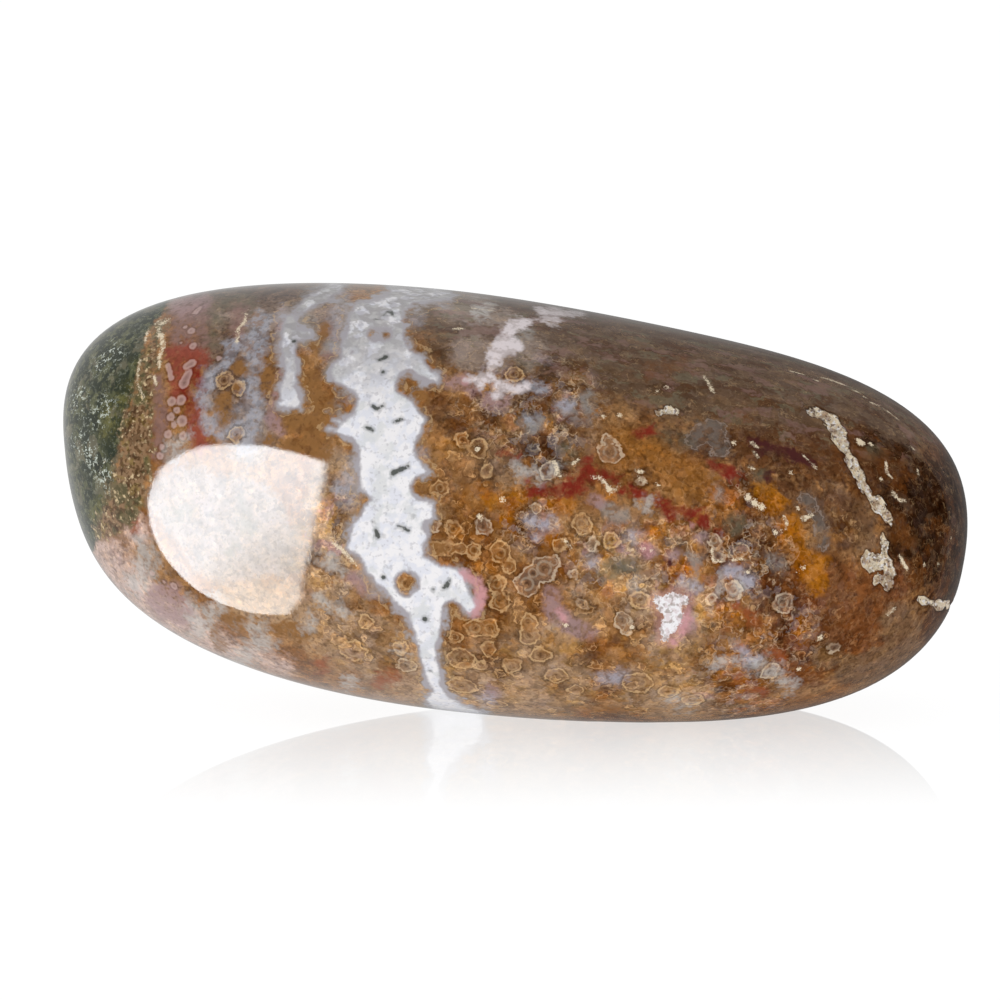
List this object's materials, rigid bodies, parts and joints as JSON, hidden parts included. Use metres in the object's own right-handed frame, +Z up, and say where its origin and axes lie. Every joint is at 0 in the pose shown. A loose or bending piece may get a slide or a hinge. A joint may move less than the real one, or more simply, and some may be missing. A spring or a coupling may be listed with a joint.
{
  "type": "tumbled jasper",
  "caption": "Tumbled, polished jasper pebble: long, nearly round in section, thicker at one end, resting on its side on a small worn flat.",
  "frame": {"origin": "under the middle of the stone's box, on the surface that it rests on", "axes": "+X along the stone to its blunt dark end, +Z up, -Y to the front face"},
  "size_m": [0.05, 0.026, 0.0238],
  "materials": {
    "polished_jasper": "high polish, with rough cream mineral in the open fissures"
  },
  "bodies": {
    "root": {"tumbled_stone": "polished_jasper"}
  },
  "joints": []
}
